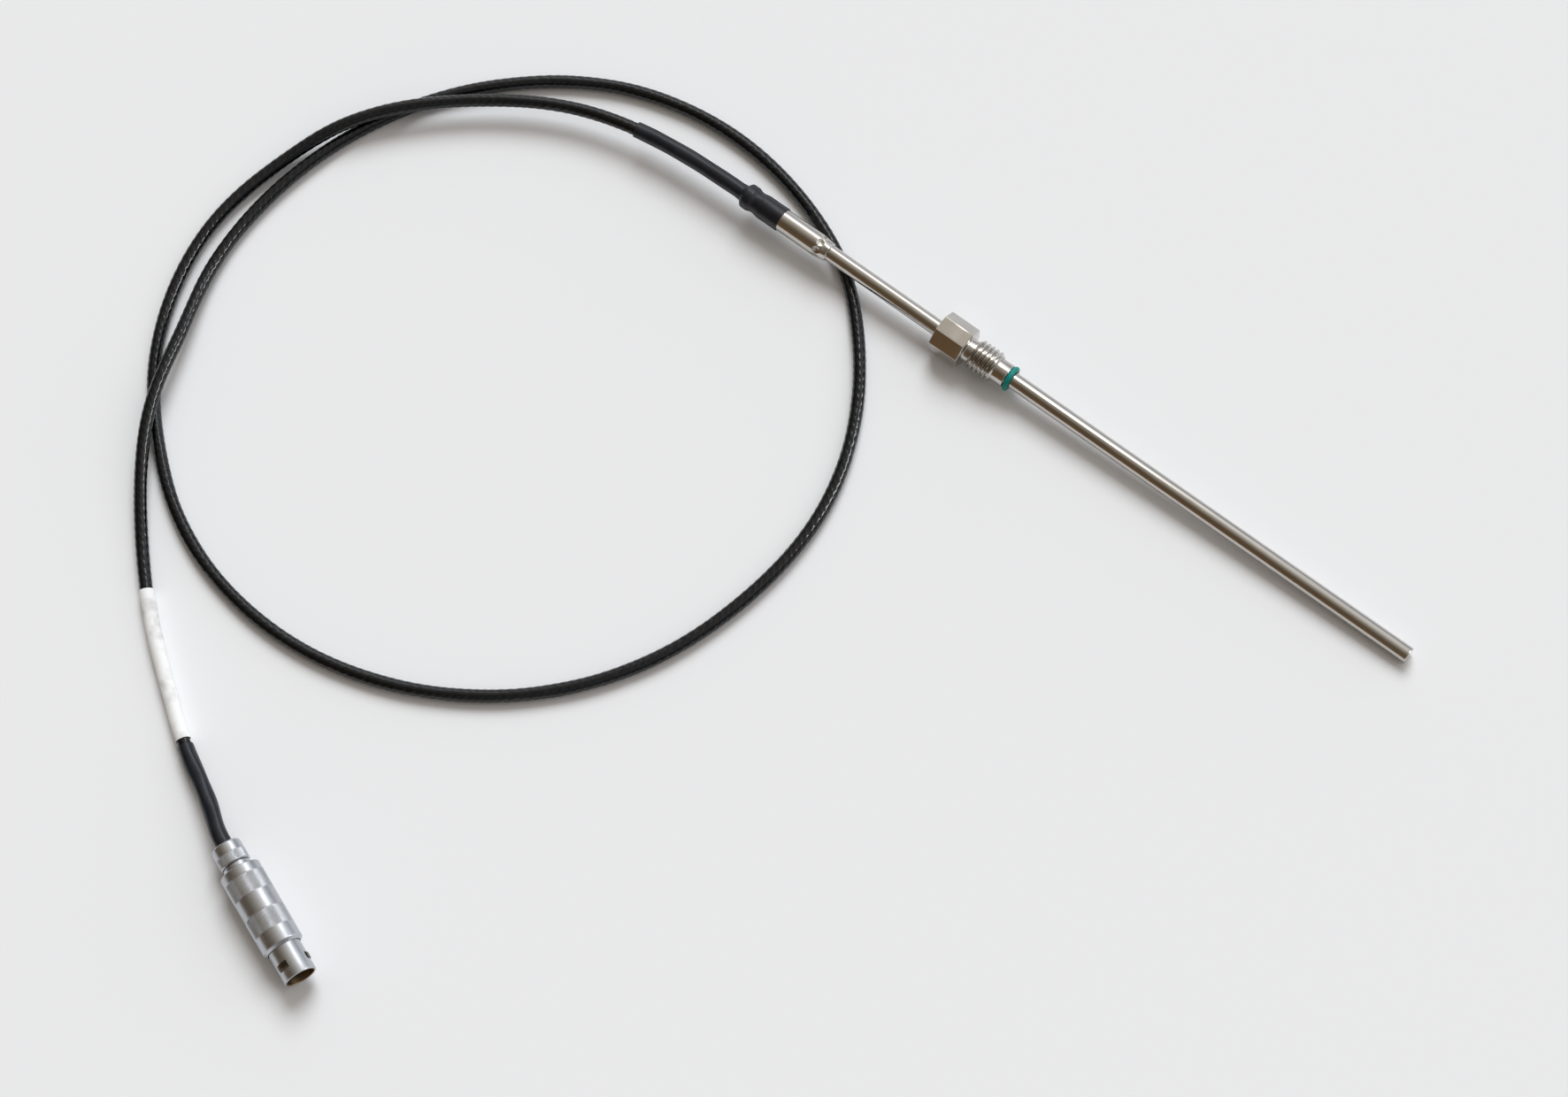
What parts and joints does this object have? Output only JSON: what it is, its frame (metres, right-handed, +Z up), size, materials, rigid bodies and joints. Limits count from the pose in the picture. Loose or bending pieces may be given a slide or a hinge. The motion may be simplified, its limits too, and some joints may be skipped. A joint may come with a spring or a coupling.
{
  "type": "temperature sensor",
  "caption": "Slim resistance temperature probe with a threaded octagonal process fitting, an O-ring, a crimped cable transition and a cable ending in a push-pull plug.",
  "frame": {"origin": "on the surface it lies on, under the middle of the metal probe from the transition sleeve's rear to the tip", "axes": "+X along the probe towards its tip, +Z up from the surface it lies on, +Y to the left seen from above with the tip ahead"},
  "size_m": [0.3653, 0.2833, 0.0123],
  "materials": {
    "stainless_steel": "fine drawn and turned steel, semi-bright",
    "satin_nickel": "satin nickel plate",
    "teal_rubber": "smooth moulded seal",
    "heat_shrink": "satin black heat-shrink tubing",
    "cable_jacket": "glossy black jacket showing its twisted cores",
    "white_sleeve": "matt white marker sleeve, bare",
    "white_ceramic": "matt",
    "potting_resin": "cured resin",
    "tinned_copper": "tinned",
    "gold_plate": "polished plate",
    "brown_insulator": "moulded",
    "red_wire": "wire insulation",
    "white_wire": "wire insulation"
  },
  "bodies": {
    "sensor": {"probe_sheath": "stainless_steel", "process_fitting": "stainless_steel", "o_ring": "teal_rubber", "transition_sleeve": "stainless_steel", "cable_ferrule": "stainless_steel", "probe_boot": "heat_shrink", "sensing_element": "white_ceramic", "potting_plug": "potting_resin", "lead_wire_1": "red_wire", "lead_wire_2": "red_wire", "lead_wire_3": "white_wire", "lead_wire_4": "white_wire", "splice_1": "tinned_copper", "splice_2": "tinned_copper", "splice_3": "tinned_copper", "splice_4": "tinned_copper", "cable_core_1": "red_wire", "cable_core_2": "red_wire", "cable_core_3": "white_wire", "cable_core_4": "white_wire", "signal_cable": "cable_jacket", "marker_sleeve": "white_sleeve", "plug_boot": "heat_shrink", "collet_nut": "satin_nickel", "collet": "satin_nickel", "plug_shell": "satin_nickel", "latch_sleeve": "satin_nickel", "contact_insert": "brown_insulator", "contact_pin_1": "gold_plate", "contact_pin_2": "gold_plate", "contact_pin_3": "gold_plate", "contact_pin_4": "gold_plate", "plug_conductor_1": "red_wire", "plug_conductor_2": "red_wire", "plug_conductor_3": "white_wire", "plug_conductor_4": "white_wire"},
    "release": {"release_sleeve": "satin_nickel"}
  },
  "joints": [
    {"name": "release_slide", "type": "slide", "parent": "sensor", "child": "release", "axis": [-0.9314, 0.3639, 0], "range_m": [0, 0.0015], "stiffness_N_per_m": 2000}
  ]
}
